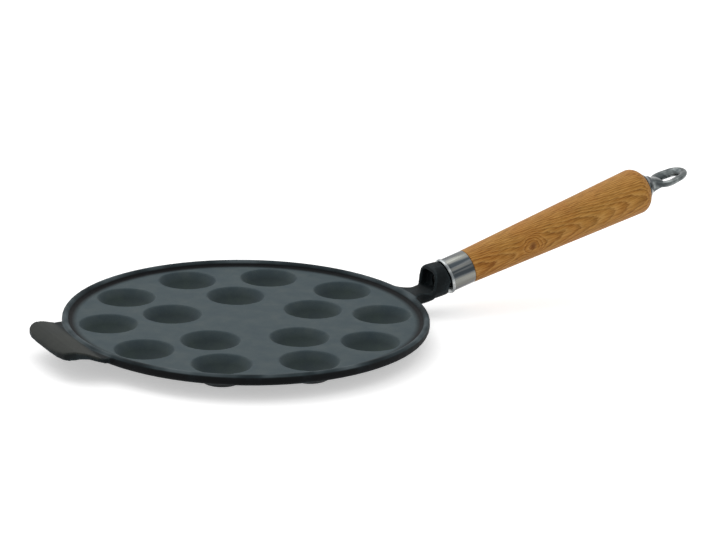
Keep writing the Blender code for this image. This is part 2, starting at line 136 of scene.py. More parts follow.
# The eye's stem above its cone, and the shoulder that widens from it into the ring
STEM_PIN = 0.2 * MM
STEM_STRAIGHT = 1.2 * MM
STEM_RISE = 1.8 * MM
STEM_BEVEL = 0.8 * MM
SHOULDER_START = 0.5 * MM
SHOULDER_OVERLAP = 1 * MM
SHOULDER_SPREAD = 1.2 * MM
SHOULDER_HALF_HEIGHT = 2.9 * MM
SHOULDER_CURVE = 0.8
SHOULDER_DROP = 0.8 * MM

# Grain of the iron. The sand's own grit is finer, and is drawn this coarse so that it shows
IRON_GRIT = 0.9 * MM
IRON_GRIT_DEPTH = 0.12 * MM
IRON_PATCH = 14 * MM
# Size of the patches of painted sheen on the rim's crest
CREST_SHEEN_SCALE = 34 * MM

# Grain of the oak, on the handle's own axes. Its pores are finer, and are drawn this wide so that they show
RING_SLANT = (0.026, -0.992, -0.125)
RING_SPACING = 1.35 * MM
RING_WANDER = 2.6 * MM
DRIFT_WIDTH = 7 * MM
DRIFT_LENGTH = 30 * MM
FIBRE_WIDTH = 0.8 * MM
FIBRE_LENGTH = 9 * MM
FIBRE_DEPTH = 0.1 * MM
OAK_PATCH = 24 * MM
KNOT_PLACE = (-0.3 * MM, -13.6 * MM, 67.7 * MM)
KNOT_BEND = 3.4 * MM
KNOT_REACH = 13 * MM
KNOT_HEART = 1 * MM
KNOT_EDGE = 3.6 * MM

# The collar's lengthwise marks: the wide bands are a painted reflection, the fine lines are drawing lines.
# Real drawing lines are finer, and are drawn this wide so that they show
REFLECTION_BAND_PLACE = (1.2, 5.3, 0)
REFLECTION_BAND_WIDTH = 7.5 * MM
REFLECTION_BAND_LENGTH = 160 * MM
LINE_WIDTH = 0.9 * MM
LINE_LENGTH = 40 * MM
STREAK_DEPTH = 0.05 * MM
# Reach of the painted highlight on the bead
BEAD_HIGHLIGHT_TO = 2.4 * MM
BEAD_HIGHLIGHT_FADE = 3.2 * MM

# Waves, worn grain and painted shade of the eye, and spangle of the rod and its black inside the neck
# Where the waves' patches of painted reflection fall
WAVE_PLACE = 3.7
WAVE_LENGTH = 7 * MM
WAVE_DEPTH = 0.2 * MM
WEAR_GRAIN = 1.6 * MM
# Painted shade round the neck's foot
FOOT_DARK = 0.3 * MM
FOOT_CLEAR = 0.9 * MM
SPANGLE = 1.2 * MM
NECK_BLACK_FULL = -1 * MM
NECK_BLACK_END = 3 * MM

# Fineness of the meshes, and how much of an outline's stretch a rounded corner may take
ROUNDED_SHARE = 0.45
CAST_VOXEL = 0.65 * MM
EYE_VOXEL = 0.28 * MM
SOFTEN_FACTOR = 0.5
CAST_SOFTENING = 3
NECK_SOFTENING = 5
EYE_SOFTENING = 5
LATHE_STEPS = 128
BOWL_STEPS = 72
BOWL_RINGS = 20
BEAD_STEPS = 12
ROUNDING_STEPS = 14
TAPER_STEPS = 30
ROD_STEPS = 28
PITCH_STEPS = 8
SHANK_STEP = 5 * MM
EYE_PATH_STEPS = 40
EYE_BAR_STEPS = 32
SHOULDER_RINGS = 8
SHOULDER_STEPS = 48

# Floor, world and lamps
FLOOR_HALF = 6
FLOOR_GLOW = 0.45
WORLD_STRENGTH = 0.55
KEY_PLACE = (-0.3, 1.2, 1.5)
KEY_AIM = (0, 0, 0)
KEY_SIZE = 1.8
KEY_WATTS = 14
FILL_PLACE = (0.4, -0.2, 1.9)
FILL_AIM = (0.1, 0, 0)
FILL_SIZE = 1.5
FILL_WATTS = 4

# Camera, measured from the photograph
LENS_PIXELS = 3075.988
PHOTO_WIDTH = 716
SENSOR_WIDTH = 36
CAMERA_TURN = radians(28.65)
CAMERA_DOWN = radians(17.5917)
CAMERA_ROLL = radians(-1.4617)
CAMERA_DISTANCE = 2091.912 * MM
CAMERA_SIDE = -75.942 * MM
CAMERA_RISE = -33.266 * MM
CAMERA_SIGHT = 20

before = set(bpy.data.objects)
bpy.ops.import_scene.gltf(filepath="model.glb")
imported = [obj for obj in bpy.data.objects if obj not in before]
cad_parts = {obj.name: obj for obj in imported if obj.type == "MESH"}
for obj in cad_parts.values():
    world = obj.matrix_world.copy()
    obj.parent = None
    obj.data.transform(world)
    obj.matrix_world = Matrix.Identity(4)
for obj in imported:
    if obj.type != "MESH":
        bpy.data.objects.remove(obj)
solid_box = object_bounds()


def mix(start, end, share):
    return start + (end - start) * share


def linear(hex_colour):
    """An sRGB hex colour as linear red, green, blue and alpha."""
    values = [int(hex_colour[place:place + 2], 16) / 255 for place in (1, 3, 5)]
    return [v / 12.92 if v <= 0.04045 else ((v + 0.055) / 1.055) ** 2.4 for v in values] + [1]


# Making pieces

def add_object(name, data):
    obj = bpy.data.objects.new(name, data)
    bpy.context.scene.collection.objects.link(obj)
    return obj


def object_from(bm, name):
    """Puts what bmesh holds into the scene as an object."""
    mesh = bpy.data.meshes.new(name)
    bm.to_mesh(mesh)
    bm.free()
    return add_object(name, mesh)


def handle_matrix():
    """Local Z runs along the handle, X down and Y to the left."""
    return Matrix.Translation(NECK_FACE) @ Matrix.Rotation(pi / 2 - HANDLE_TILT, 4, "Y")


def settle(obj):
    """Puts an object's modifiers into its mesh."""
    graph = bpy.context.evaluated_depsgraph_get()
    mesh = bpy.data.meshes.new_from_object(obj.evaluated_get(graph))
    mesh.name = obj.name
    obj.modifiers.clear()
    obj.data = mesh


def reskin(obj, voxel):
    """Adds the modifier that makes a mesh anew as one closed skin of even faces."""
    remesh = obj.modifiers.new("Reskin", "REMESH")
    remesh.mode = "VOXEL"
    remesh.voxel_size = voxel


def soften(obj, rounds, group=""):
    """Adds the modifier that smooths a mesh, or one group of its points."""
    smooth = obj.modifiers.new("Soften", "SMOOTH")
    smooth.factor = SOFTEN_FACTOR
    smooth.iterations = rounds
    smooth.vertex_group = group


def add_skin(bm, rings, wrap=False):
    """Faces through rings of points. Wrap joins the last ring to the first; otherwise the ends are closed."""
    loops = [[bm.verts.new(point) for point in ring] for ring in rings]
    pairs = list(zip(loops, loops[1:]))
    if wrap:
        pairs.append((loops[-1], loops[0]))
    for near, far in pairs:
        for index in range(len(near)):
            after = (index + 1) % len(near)
            bm.faces.new((near[index], near[after], far[after], far[index]))
    if not wrap:
        bm.faces.new(loops[0])
        bm.faces.new(loops[-1])


def skin(name, rings, wrap=False):
    """A smooth object whose skin runs through rings of points."""
    bm = bmesh.new()
    add_skin(bm, rings, wrap)
    bmesh.ops.recalc_face_normals(bm, faces=bm.faces)
    obj = object_from(bm, name)
    obj.data.shade_smooth()
    return obj


def ring_at(radius, height, steps=LATHE_STEPS):
    return [
        (radius * cos(2 * pi * step / steps), radius * sin(2 * pi * step / steps), height)
        for step in range(steps)
    ]


def turned(name, outline, ring=False):
    """A shape turned about local Z from points of radius and height."""
    return skin(name, [ring_at(radius, height) for radius, height in outline], wrap=ring)


def rounded(outline, radius, closed, steps=4):
    """An outline of radius and height with its corners rounded."""
    points = [Vector(point) for point in outline]
    count = len(points)
    result = []
    for index, corner in enumerate(points):
        if not closed and index in (0, count - 1):
            result.append(corner)
            continue
        back = points[index - 1] - corner
        ahead = points[(index + 1) % count] - corner
        reach = min(radius, back.length * ROUNDED_SHARE, ahead.length * ROUNDED_SHARE)
        start = corner + back.normalized() * reach
        end = corner + ahead.normalized() * reach
        for step in range(steps + 1):
            share = step / steps
            result.append(start * (1 - share) ** 2 + corner * 2 * share * (1 - share) + end * share ** 2)
    return [tuple(point) for point in result]


def sharpen(obj, degrees):
    """Shades a mesh smooth but for its edges sharper than an angle."""
    obj.data.shade_smooth()
    obj.data.set_sharp_from_angle(angle=radians(degrees))


def well_places():
    places = []
    for count, radius, start in (
        (OUTER_WELLS, OUTER_RING_RADIUS, pi / OUTER_WELLS),
        (INNER_WELLS, INNER_RING_RADIUS, 0),
    ):
        for index in range(count):
            angle = start + 2 * pi * index / count
            places.append((radius * cos(angle), radius * sin(angle)))
    return places


def true_circle(point):
    """Moves a point of the faceted disc out to the true circle."""
    radius = hypot(point.x, point.y)
    if radius < ROUND_FROM:
        return
    facet = 2 * pi / PLATE_FACETS
    angle = atan2(point.y, point.x)
    off = angle - (floor(angle / facet) + 0.5) * facet
    grow = cos(off) / cos(facet / 2)
    point.x *= grow
    point.y *= grow


def fine_bowls():
    """The round cutters that finish every well, a little wider at the lip."""
    lip_angle = acos((BOWL_CENTRE_HEIGHT - BOWL_LIP) / BOWL_RADIUS)
    outline = []
    for index in range(BOWL_RINGS + 1):
        angle = mix(BOWL_POLE_ANGLE, lip_angle, index / BOWL_RINGS)
        outline.append((BOWL_RADIUS * sin(angle), BOWL_CENTRE_HEIGHT - BOWL_RADIUS * cos(angle)))
    outline.append((outline[-1][0] + BOWL_LIP * BOWL_FLARE_SHARE, 2 * BOWL_LIP))
    bm = bmesh.new()
    for x, y in well_places():
        add_skin(bm, [
            [(px + x, py + y, pz) for px, py, pz in ring_at(radius, height, BOWL_STEPS)]
            for radius, height in outline
        ])
    bmesh.ops.recalc_face_normals(bm, faces=bm.faces)
    return object_from(bm, "bowls")


def make_casting():
    """The iron casting: the solid's own form with true round wells, softened as a sand casting is."""
    bm = bmesh.new()
    bm.from_mesh(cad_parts["pan_casting"].data)
    bmesh.ops.remove_doubles(bm, verts=bm.verts, dist=WELD_GAP)
    for vert in bm.verts:
        true_circle(vert.co)
    cast = object_from(bm, "cast_pan")
    bowls = fine_bowls()
    cut = cast.modifiers.new("Wells", "BOOLEAN")
    cut.operation = "DIFFERENCE"
    cut.solver = "EXACT"
    cut.object = bowls
    settle(cast)
    bpy.data.objects.remove(bowls)
    reskin(cast, CAST_VOXEL)
    settle(cast)
    neck = cast.vertex_groups.new(name="neck")
    for vert in cast.data.vertices:
        share = (vert.co.x - NECK_FROM) / (NECK_FULL - NECK_FROM)
        if share > 0:
            neck.add([vert.index], min(share, 1), "REPLACE")
    soften(cast, CAST_SOFTENING)
    soften(cast, NECK_SOFTENING, "neck")
    settle(cast)
    cast.vertex_groups.clear()
    cast.data.shade_smooth()
    return cast


def make_collar():
    """The collar: drawn steel tube with a rolled bead in front and an edge turned in over the oak."""
    inside = COLLAR_RADIUS - COLLAR_WALL
    bead = []
    for step in range(BEAD_STEPS + 1):
        angle = pi * step / BEAD_STEPS
        height = SEAT_GAP + BEAD_LENGTH * (1 + cos(angle)) / 2
        bead.append((COLLAR_RADIUS + BEAD_RISE * sin(angle), height))
    back = [(inside, COLLAR_LENGTH), (COLLAR_RADIUS, COLLAR_LENGTH)]
    groove = [
        (COLLAR_RADIUS, SEAT_GAP + BEAD_LENGTH + 3 * GROOVE),
        (COLLAR_RADIUS - GROOVE, SEAT_GAP + BEAD_LENGTH + GROOVE),
    ]
    inner = [
        (COLLAR_LIP, SEAT_GAP),
        (COLLAR_LIP, SEAT_GAP + COLLAR_WALL),
        (inside, SEAT_GAP + COLLAR_WALL),
    ]
    outline = rounded(back, COLLAR_BACK_ROUNDING, closed=False) + groove + bead + inner
    collar = turned("collar", rounded(outline, COLLAR_ROUNDING, closed=True, steps=3), ring=True)
    sharpen(collar, degrees=40)
    return collar


def make_grip():
    """The grip, turned from one oak blank, with its tenon in the collar."""
    centre = GRIP_BACK_RADIUS - GRIP_ROUND_WIDTH
    seat = acos((GRIP_SEAT_RADIUS - centre) / GRIP_ROUND_WIDTH)
    end = GRIP_ROUND_START + GRIP_ROUND_LENGTH * sin(seat)
    rounding = []
    for step in range(ROUNDING_STEPS + 1):
        angle = seat * (1 - step / ROUNDING_STEPS)
        height = GRIP_ROUND_START + GRIP_ROUND_LENGTH * sin(angle)
        rounding.append((centre + GRIP_ROUND_WIDTH * cos(angle), height))
    shoulder = COLLAR_LENGTH + SEAT_GAP
    taper = []
    for step in range(1, TAPER_STEPS):
        share = step / TAPER_STEPS
        taper.append((
            mix(GRIP_BACK_RADIUS, GRIP_FRONT_RADIUS, share),
            mix(GRIP_ROUND_START, shoulder, share),
        ))
    tenon = COLLAR_RADIUS - COLLAR_WALL - SEAT_GAP
    front = 2 * SEAT_GAP + COLLAR_WALL
    outline = [
        (GRIP_BORE, end), *rounding, *taper,
        (GRIP_FRONT_RADIUS, shoulder + GRIP_BEVEL), (GRIP_FRONT_RADIUS - GRIP_BEVEL, shoulder),
        (tenon, shoulder), (tenon, front), (GRIP_BORE, front),
    ]
    grip = turned("oak_grip", outline, ring=True)
    sharpen(grip, degrees=35)
    return grip


def make_rod():
    """The tie rod: zinc plated, with an M8 thread rolled on both ends."""
    rings = []
    height = ROD_START
    while height <= ROD_END:
        threaded = height < ROD_START + THREAD_LENGTH or height > ROD_END - THREAD_LENGTH
        ring = []
        for step in range(ROD_STEPS):
            turn = step / ROD_STEPS
            wave = (height / THREAD_PITCH - turn) % 1
            cut = THREAD_DEPTH * min(1, THREAD_SLOPE_SHARE * abs(wave - 0.5))
            depth = cut if threaded else SHANK_RELIEF
            to_end = min(height - ROD_START, ROD_END - height)
            radius = min(ROD_RADIUS - depth, ROD_RADIUS - ROD_BEVEL + to_end)
            ring.append((radius * cos(2 * pi * turn), radius * sin(2 * pi * turn), height))
        rings.append(ring)
        height += THREAD_PITCH / PITCH_STEPS if threaded else SHANK_STEP
    rod = skin("threaded_rod", rings)
    sharpen(rod, degrees=50)
    return rod


def eye_ring():
    """The eye's dished ring, an oval bar swept round an egg-shaped path, and the height where it starts."""
    reach = hypot(EYE_BAR_WIDTH * cos(EYE_DISH), EYE_BAR_THICKNESS * sin(EYE_DISH)) / 2
    wide = FLANGE_BASE + FLANGE_HEIGHT + EYE_NECK_LENGTH + reach + EYE_WIDE_RADIUS
    tip = FLANGE_BASE + EYE_LENGTH - reach - EYE_TIP_RADIUS
    turn = acos((EYE_WIDE_RADIUS - EYE_TIP_RADIUS) / (tip - wide))
    rings = []
    for centre, radius, start, end in (
        (tip, EYE_TIP_RADIUS, -turn, turn),
        (wide, EYE_WIDE_RADIUS, turn, 2 * pi - turn),
    ):
        for step in range(EYE_PATH_STEPS):
            angle = mix(start, end, step / (EYE_PATH_STEPS - 1))
            ring = []
            for part in range(EYE_BAR_STEPS):
                side = 2 * pi * part / EYE_BAR_STEPS
                out = EYE_BAR_WIDTH / 2 * cos(side)
                lift = EYE_BAR_THICKNESS / 2 * sin(side)
                outward = out * cos(EYE_DISH) - lift * sin(EYE_DISH)
                upward = out * sin(EYE_DISH) + lift * cos(EYE_DISH)
                ring.append((
                    EYE_DROP - upward,
                    (radius + outward) * sin(angle),
                    centre + (radius + outward) * cos(angle),
                ))
            rings.append(ring)
    return skin("eye_ring", rings, wrap=True), wide - EYE_WIDE_RADIUS + reach / 2


def make_eye():
    """The eye, one die casting: cone, neck and ring run into each other."""
    ring, neck_top = eye_ring()
    cone_top = FLANGE_BASE + FLANGE_HEIGHT
    stem = turned("eye_stem", [
        (STEM_PIN, cone_top + STEM_RISE),
        (EYE_NECK_RADIUS - STEM_BEVEL, cone_top + STEM_RISE),
        (EYE_NECK_RADIUS, cone_top + STEM_STRAIGHT),
        (EYE_NECK_RADIUS, cone_top),
        (FLANGE_RADIUS, FLANGE_BASE + FLANGE_EDGE),
        (FLANGE_RADIUS, FLANGE_BASE),
        (STEM_PIN, FLANGE_BASE),
    ])
    rings = []
    for step in range(SHOULDER_RINGS + 1):
        share = step / SHOULDER_RINGS
        half_width = mix(EYE_NECK_RADIUS, EYE_WIDE_RADIUS + SHOULDER_SPREAD, share)
        half_height = mix(EYE_NECK_RADIUS, SHOULDER_HALF_HEIGHT, share ** SHOULDER_CURVE)
        height = mix(cone_top + SHOULDER_START, neck_top + SHOULDER_OVERLAP, share)
        centre = mix(0, SHOULDER_DROP, share)
        rings.append([
            (centre + half_height * x, half_width * y, height)
            for x, y, _ in ring_at(1, 0, SHOULDER_STEPS)
        ])
    shoulder = skin("eye_shoulder", rings)
    bm = bmesh.new()
    for part in (ring, stem, shoulder):
        bm.from_mesh(part.data)
        bpy.data.objects.remove(part)
    eye = object_from(bm, "cast_eye")
    reskin(eye, EYE_VOXEL)
    soften(eye, EYE_SOFTENING)
    settle(eye)
    eye.data.shade_smooth()
    return eye


# Materials

def new_material(name):
    material = bpy.data.materials.new(name)
    material.use_nodes = True
    tree = material.node_tree
    return material, tree, tree.nodes["Principled BSDF"]


def add(tree, kind, settings=None, links=None, stops=()):
    """Adds a node.

    Settings are its own properties or its sockets' values, links feed its sockets, and stops are the places
    and colours of a colour ramp. Sockets whose names repeat go by number. A Map Range node's value is 0, what
    it maps from is 1 to 2, and what it maps to is 3 to 4. A Mix node's share is 0, and its colours are 6
    and 7.
    """
    node = tree.nodes.new("ShaderNode" + kind)
    for key, value in (settings or {}).items():
        if isinstance(key, int) or key in node.inputs:
            node.inputs[key].default_value = value
        else:
            setattr(node, key, value)
    for key, source in (links or {}).items():
        tree.links.new(source, node.inputs[key])
    if stops:
        elements = node.color_ramp.elements
        while len(elements) < len(stops):
            elements.new(0.5)
        for element, (place, colour) in zip(elements, stops):
            element.position = place
            element.color = linear(colour)
    return node


def dress(tree, shader, sources):
    """Links what drives them to the shader's sockets."""
    for name, source in sources.items():
        tree.links.new(source, shader.inputs[name])


def along_handle(tree):
    """Texture coordinates of a piece of the handle: Z along it, X down and Y to the left."""
    place = add(tree, "TexCoord").outputs["Object"]
    return add(tree, "Mapping", {
        "vector_type": "TEXTURE", "Location": NECK_FACE, "Rotation": (0, pi / 2 - HANDLE_TILT, 0),
    }, {"Vector": place}).outputs[0]


def iron_tones(tree, mottled):
    """The casting's mottled tones: ground plate, wells in painted shade, tab, the seasoned skin, and the
    near-black painted shade of the crease and the skirt.
    """
    tones = {
        "ground": ((0.45, "#3c494f"), (0.7, "#465256"), (0.95, "#515b5d")),
        "well": ((0.45, "#273137"), (0.95, "#36413f")),
        "tab": ((0.45, "#262a29"), (0.95, "#393b38")),
        "seasoned": ((0.45, "#06090a"), (0.75, "#151b1d"), (1.0, "#333c40")),
        # Painted shade: a near-black tone for the crease and the upright skirt
        "painted_shade": ((0.45, "#020304"), (0.75, "#050709"), (1.0, "#12171a")),
    }
    return {
        name: add(tree, "ValToRGB", links={0: mottled}, stops=stops).outputs[0]
        for name, stops in tones.items()
    }


def iron_top(tree, place, reach, tones, black):
    """What faces up: plate and wells, the wells with painted shade, then outward the crease in near-black
    painted shade, the crest of the rim with patches of painted sheen, and the tab.
    """
    axes = add(tree, "SeparateXYZ", links={0: place}).outputs
    # Painted shade: the wells darken with depth
    painted_well_shade = add(tree, "MapRange", {1: WELL_SHADE_START, 2: WELL_SHADE_END}, {0: axes["Z"]})
    plate = add(tree, "Mix", {"data_type": "RGBA"}, {
        0: painted_well_shade.outputs[0], 6: tones["ground"], 7: tones["well"],
    })
    # Painted shade: the crease inside the rim is near-black
    in_crease = add(tree, "MapRange", {1: CREASE_LIMIT, 2: CREASE_LIMIT - RIM_FADE}, {0: reach})
    crease_shade_on_skin = add(tree, "Mix", {"data_type": "RGBA"}, {
        0: in_crease.outputs[0], 6: black, 7: tones["painted_shade"],
    })
    outside = add(tree, "MapRange", {1: CREASE_START, 2: CREASE_END}, {0: reach})
    with_edge_shade = add(tree, "Mix", {"data_type": "RGBA"}, {
        0: outside.outputs[0], 6: plate.outputs[2], 7: crease_shade_on_skin.outputs[2],
    })
    # Painted sheen: lighter patches on the rim's crest stand for a reflection
    crest_sheen_noise = add(tree, "TexNoise", {
        "Scale": 1 / CREST_SHEEN_SCALE, "Detail": 2, "Roughness": 0.5,
    }, {"Vector": place})
    crest = add(tree, "ValToRGB", links={0: crest_sheen_noise.outputs["Fac"]}, stops=(
        (0.36, "#1b2225"), (0.5, "#323c40"), (0.66, "#566064"),
    ))
    above = add(tree, "MapRange", {1: CREST_START, 2: CREST_END}, {0: axes["Z"]})
    on_rim = add(tree, "MapRange", {1: RIM_OUTER + RIM_FADE, 2: RIM_OUTER}, {0: reach})
    crested = add(tree, "Math", {"operation": "MULTIPLY"}, {0: above.outputs[0], 1: on_rim.outputs[0]})
    rimmed = add(tree, "Mix", {"data_type": "RGBA"}, {
        0: crested.outputs[0], 6: with_edge_shade.outputs[2], 7: crest.outputs[0],
    })
    on_tab = add(tree, "MapRange", {1: TAB_ROOT, 2: TAB_ROOT - TAB_FADE}, {0: axes["X"]})
    return add(tree, "Mix", {"data_type": "RGBA"}, {
        0: on_tab.outputs[0], 6: rimmed.outputs[2], 7: tones["tab"],
    }).outputs[2]


def iron_sides(tree, reach, facing, tones, black):
    """What faces sideways or down: the black skin, partly painted shade, and near-black painted shade where
    the skirt stands upright.
    """
    # Painted shade: the skirt, where it stands upright, is near-black
    on_skirt = add(tree, "MapRange", {1: SKIRT_LIMIT, 2: SKIRT_FULL}, {0: reach})
    upright = add(tree, "MapRange", {1: -0.75, 2: -0.45}, {0: facing})
    skirt_painted_shade = add(tree, "Math", {"operation": "MULTIPLY"}, {0: on_skirt.outputs[0], 1: upright.outputs[0]})
    return add(tree, "Mix", {"data_type": "RGBA"}, {
        0: skirt_painted_shade.outputs[0], 6: black, 7: tones["painted_shade"],
    }).outputs[2]


def cast_iron():
    """Cast iron, sand cast and factory seasoned: a fine even grit, matt, with a faint oil sheen.

    The plate is ground flat and shows grey; its wells darken with depth, which is painted shade. The crest of
    the rim has lighter patches, a painted sheen. The crease inside it, the sides, the tab, the neck and the
    underside keep the blacker skin of the seasoning, which is rubbed through at sharp corners. The sides'
    black is partly painted shade, and the crease and the upright skirt are painted near-black shade.
    """
    material, tree, shader = new_material("seasoned_cast_iron")
    place = add(tree, "TexCoord").outputs["Object"]
    flat = add(tree, "VectorMath", {"operation": "MULTIPLY", 1: (1, 1, 0)}, {0: place})
    reach = add(tree, "VectorMath", {"operation": "LENGTH"}, {0: flat.outputs[0]}).outputs["Value"]
    surface = add(tree, "NewGeometry").outputs
    facing = add(tree, "SeparateXYZ", links={0: surface["Normal"]}).outputs["Z"]
    grit = add(tree, "TexNoise", {
        "Scale": 1 / IRON_GRIT, "Detail": 3, "Roughness": 0.6,
    }, {"Vector": place}).outputs["Fac"]
    patches = add(tree, "TexNoise", {
        "Scale": 1 / IRON_PATCH, "Detail": 4, "Roughness": 0.55,
    }, {"Vector": place}).outputs["Fac"]
    mottled = add(tree, "Math", {"operation": "MULTIPLY_ADD", 1: 0.45}, {0: grit, 2: patches}).outputs[0]
    tones = iron_tones(tree, mottled)
    corners = add(tree, "MapRange", {1: 0.51, 2: 0.57, 4: 0.5}, {0: surface["Pointiness"]})
    black = add(tree, "Mix", {"data_type": "RGBA", 7: linear("#4b565a")}, {
        0: corners.outputs[0], 6: tones["seasoned"],
    }).outputs[2]
    # Up-facing faces take the top's tones, sideways and downward ones the black skin: partly the seasoning's
    # own black, partly painted shade
    lit_top_share = add(tree, "MapRange", {1: -0.05, 2: 0.4}, {0: facing})
    whole = add(tree, "Mix", {"data_type": "RGBA"}, {
        0: lit_top_share.outputs[0],
        6: iron_sides(tree, reach, facing, tones, black),
        7: iron_top(tree, place, reach, tones, black),
    })
    rough = add(tree, "MapRange", {3: 0.52, 4: 0.7}, {0: mottled})
    bump = add(tree, "Bump", {"Strength": 0.25, "Distance": IRON_GRIT_DEPTH}, {"Height": grit})
    shader.inputs["Specular IOR Level"].default_value = 0.1
    dress(tree, shader, {
        "Base Color": whole.outputs[2], "Roughness": rough.outputs[0], "Normal": bump.outputs[0],
    })
    return material


def oak():
    """Oak, turned, sanded and oiled.

    The blank lies so that the turning cuts the growth rings at a slant on the handle's lower near side, where
    they show as nested arches; elsewhere they run along it as lines. Short dark pores follow the grain, which
    bends round one small knot.
    """
    material, tree, shader = new_material("oiled_oak")
    place = along_handle(tree)
    stretch = add(tree, "Mapping", {
        "Scale": (1 / DRIFT_WIDTH, 1 / DRIFT_WIDTH, 1 / DRIFT_LENGTH),
    }, {"Vector": place})
    drift = add(tree, "TexNoise", {"Scale": 1, "Detail": 4, "Roughness": 0.7}, {"Vector": stretch.outputs[0]})
    rings = add(tree, "VectorMath", {"operation": "DOT_PRODUCT", 1: RING_SLANT}, {0: place})
    knot_gap = add(tree, "VectorMath", {"operation": "DISTANCE", 1: KNOT_PLACE}, {0: place})
    knot_pull = add(tree, "MapRange", {
        1: 0, 2: KNOT_REACH, 3: KNOT_BEND, 4: 0, "interpolation_type": "SMOOTHERSTEP",
    }, {0: knot_gap.outputs["Value"]})
    pulled = add(tree, "Math", {"operation": "ADD"}, {0: rings.outputs["Value"], 1: knot_pull.outputs[0]})
    wandered = add(tree, "Math", {"operation": "MULTIPLY_ADD", 1: RING_WANDER}, {
        0: drift.outputs["Fac"], 2: pulled.outputs[0],
    })
    counted = add(tree, "Math", {"operation": "MULTIPLY", 1: 1 / RING_SPACING}, {0: wandered.outputs[0]})
    year = add(tree, "Math", {"operation": "FRACT"}, {0: counted.outputs[0]})
    ring_colour = add(tree, "ValToRGB", links={0: year.outputs[0]}, stops=(
        (0.0, "#6b400f"), (0.16, "#8a5a1b"), (0.4, "#b57b32"),
        (0.7, "#cb964b"), (0.9, "#d8a75f"), (1.0, "#7d4d19"),
    ))
    fibre_map = add(tree, "Mapping", {
        "Scale": (1 / FIBRE_WIDTH, 1 / FIBRE_WIDTH, 1 / FIBRE_LENGTH),
    }, {"Vector": place})
    fibres = add(tree, "TexNoise", {
        "Scale": 1, "Detail": 3, "Roughness": 0.65,
    }, {"Vector": fibre_map.outputs[0]}).outputs["Fac"]
    pores = add(tree, "ValToRGB", links={0: fibres}, stops=(
        (0.38, "#5f380b"), (0.5, "#b27a30"), (0.62, "#d6a257"),
    ))
    wood = add(tree, "Mix", {"data_type": "RGBA", 0: 0.45}, {6: ring_colour.outputs[0], 7: pores.outputs[0]})
    patches = add(tree, "TexNoise", {"Scale": 1 / OAK_PATCH, "Detail": 2}, {"Vector": place})
    warm = add(tree, "ValToRGB", links={0: patches.outputs["Fac"]}, stops=(
        (0.38, "#ab6420"), (0.62, "#b8863e"),
    ))
    toned = add(tree, "Mix", {"data_type": "RGBA", 0: 0.25}, {6: wood.outputs[2], 7: warm.outputs[0]})
    heart = add(tree, "MapRange", {1: KNOT_HEART, 2: KNOT_EDGE, 3: 0.8, 4: 0}, {
        0: knot_gap.outputs["Value"],
    })
    knotted = add(tree, "Mix", {"data_type": "RGBA", 7: linear("#6e3d12")}, {
        0: heart.outputs[0], 6: toned.outputs[2],
    })
    rough = add(tree, "MapRange", {3: 0.66, 4: 0.46}, {0: fibres})
    bump = add(tree, "Bump", {"Strength": 0.35, "Distance": FIBRE_DEPTH}, {"Height": fibres})
    shader.inputs["Specular IOR Level"].default_value = 0.2
    dress(tree, shader, {
        "Base Color": knotted.outputs[2], "Roughness": rough.outputs[0], "Normal": bump.outputs[0],
    })
    return material


def drawn_steel():
    """Stainless steel tube, drawn over a plug and buffed along its length.

    Wide lengthwise bands of another tone are a painted reflection; the fine lines in them are the drawing's
    own marks.
    The rolled bead in front is lighter: a painted highlight.
    """
    material, tree, shader = new_material("drawn_stainless_steel")
    place = along_handle(tree)
    # Painted reflection: wide lengthwise bands of another tone
    reflection_band_map = add(tree, "Mapping", {
        "Location": REFLECTION_BAND_PLACE, "Scale": (1 / REFLECTION_BAND_WIDTH, 1 / REFLECTION_BAND_WIDTH, 1 / REFLECTION_BAND_LENGTH),
    }, {"Vector": place})
    reflection_bands = add(tree, "TexNoise", {
        "Scale": 1, "Detail": 2, "Roughness": 0.5,
    }, {"Vector": reflection_band_map.outputs[0]}).outputs["Fac"]
    fine_map = add(tree, "Mapping", {
        "Scale": (1 / LINE_WIDTH, 1 / LINE_WIDTH, 1 / LINE_LENGTH),
    }, {"Vector": place})
    fine = add(tree, "TexNoise", {
        "Scale": 1, "Detail": 3, "Roughness": 0.6,
    }, {"Vector": fine_map.outputs[0]}).outputs["Fac"]
    streaks_and_reflection = add(tree, "Math", {"operation": "MULTIPLY_ADD", 1: 0.2}, {0: fine, 2: reflection_bands}).outputs[0]
    tube = add(tree, "ValToRGB", links={0: streaks_and_reflection}, stops=(
        (0.5, "#3c4246"), (0.56, "#66696a"), (0.64, "#7c7d78"), (0.76, "#92948f"),
    ))
    # Painted highlight: the bead's lighter tones
    bead = add(tree, "ValToRGB", links={0: streaks_and_reflection}, stops=(
        (0.5, "#777c7e"), (0.64, "#a0a4a4"), (0.76, "#bfc2c2"),
    ))
    along = add(tree, "SeparateXYZ", links={0: place}).outputs["Z"]
    on_bead = add(tree, "MapRange", {1: BEAD_HIGHLIGHT_FADE, 2: BEAD_HIGHLIGHT_TO}, {0: along})
    whole = add(tree, "Mix", {"data_type": "RGBA"}, {
        0: on_bead.outputs[0], 6: tube.outputs[0], 7: bead.outputs[0],
    })
    rough = add(tree, "MapRange", {3: 0.14, 4: 0.28}, {0: fine})
    bump = add(tree, "Bump", {"Strength": 0.15, "Distance": STREAK_DEPTH}, {"Height": streaks_and_reflection})
    shader.inputs["Metallic"].default_value = 1
    dress(tree, shader, {
        "Base Color": whole.outputs[2], "Roughness": rough.outputs[0], "Normal": bump.outputs[0],
    })
    return material


